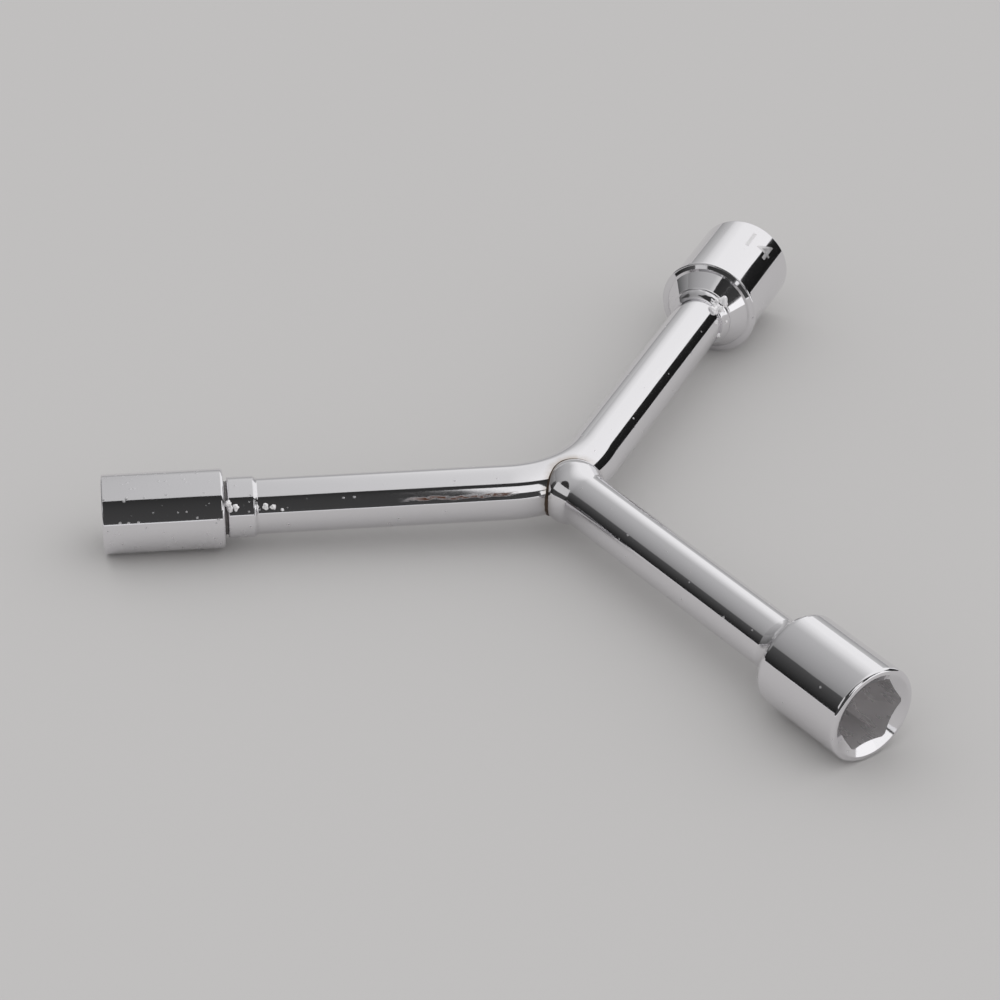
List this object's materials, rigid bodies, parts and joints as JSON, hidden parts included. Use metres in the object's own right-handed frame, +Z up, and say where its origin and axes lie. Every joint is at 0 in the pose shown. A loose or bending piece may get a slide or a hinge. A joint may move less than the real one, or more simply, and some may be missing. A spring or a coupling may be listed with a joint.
{
  "type": "three-way socket wrench",
  "caption": "Chrome-plated Y-shaped hand wrench: a bent round bar and a welded branch bar, each arm ending in a hexagonal socket.",
  "frame": {"origin": "middle of the wrench's outline, on the surface it lies on", "axes": "+Z up from the surface; the left arm points along -X, the far arm 60 degrees from +X towards +Y, the near arm 60 degrees from +X towards -Y. The arms' plane leans 1.1 degrees, because the heads that it lies on differ in diameter"},
  "size_m": [0.1388, 0.1608, 0.0196],
  "materials": {
    "bar_chrome": "bright plated, fine pits",
    "socket_chrome": "bright plated outside, matte grey in the hexagon",
    "weld_tint": "thin plating with a brown heat tint"
  },
  "bodies": {
    "root": {"bent_bar": "bar_chrome", "branch_bar": "bar_chrome", "junction_weld": "weld_tint", "left_socket": "socket_chrome", "far_socket": "socket_chrome", "near_socket": "socket_chrome", "left_neck_weld": "bar_chrome", "far_neck_weld": "bar_chrome", "near_neck_weld": "bar_chrome"}
  },
  "joints": []
}
